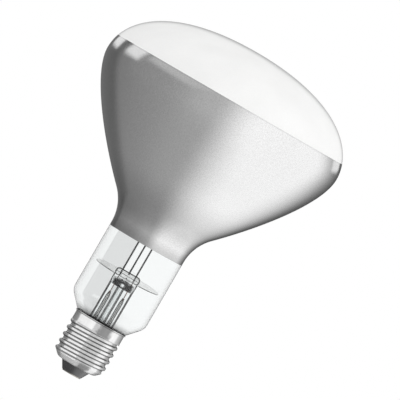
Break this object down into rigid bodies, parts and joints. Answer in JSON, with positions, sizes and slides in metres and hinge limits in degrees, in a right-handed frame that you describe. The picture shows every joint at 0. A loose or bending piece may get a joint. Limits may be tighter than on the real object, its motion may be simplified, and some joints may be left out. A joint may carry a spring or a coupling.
{
  "type": "reflector light bulb",
  "caption": "Infrared reflector light bulb with a frosted dome, silvered flank, clear neck showing the stem, and an Edison screw cap.",
  "frame": {"origin": "middle of the centre contact's lower face, on the lamp's axis", "axes": "+Z along the lamp's axis from the contact to the dome, and the flat side of the stem's press faces -Y"},
  "size_m": [0.125, 0.125, 0.1756],
  "materials": {
    "clear_glass": "gloss",
    "frosted_glass": "satin",
    "mirror_film": "satin",
    "nickel_wire": "satin",
    "anchor_wire": "satin",
    "tungsten": "matte",
    "copper_wire": "satin",
    "mica": "satin",
    "cap_metal": "polished",
    "cap_glass": "gloss",
    "contact_metal": "satin",
    "solder": "matte",
    "cement": "matte"
  },
  "bodies": {
    "root": {"glass_neck": "clear_glass", "glass_bowl": "clear_glass", "glass_stem": "clear_glass", "exhaust_tube": "clear_glass", "lead_sleeve_left": "clear_glass", "lead_sleeve_right": "clear_glass", "glass_bead": "clear_glass", "glass_dome": "frosted_glass", "reflector_coating": "mirror_film", "inner_lead_left": "nickel_wire", "inner_lead_right": "nickel_wire", "centre_support": "nickel_wire", "anchor_1": "anchor_wire", "anchor_2": "anchor_wire", "anchor_3": "anchor_wire", "anchor_4": "anchor_wire", "anchor_5": "anchor_wire", "filament": "tungsten", "seal_wire_left": "copper_wire", "seal_wire_right": "copper_wire", "outer_lead_side": "copper_wire", "outer_lead_tip": "copper_wire", "mica_disc": "mica", "cap_shell": "cap_metal", "cap_insulator": "cap_glass", "centre_contact": "contact_metal", "tip_solder": "solder", "side_weld": "solder", "cap_cement": "cement"}
  },
  "joints": []
}
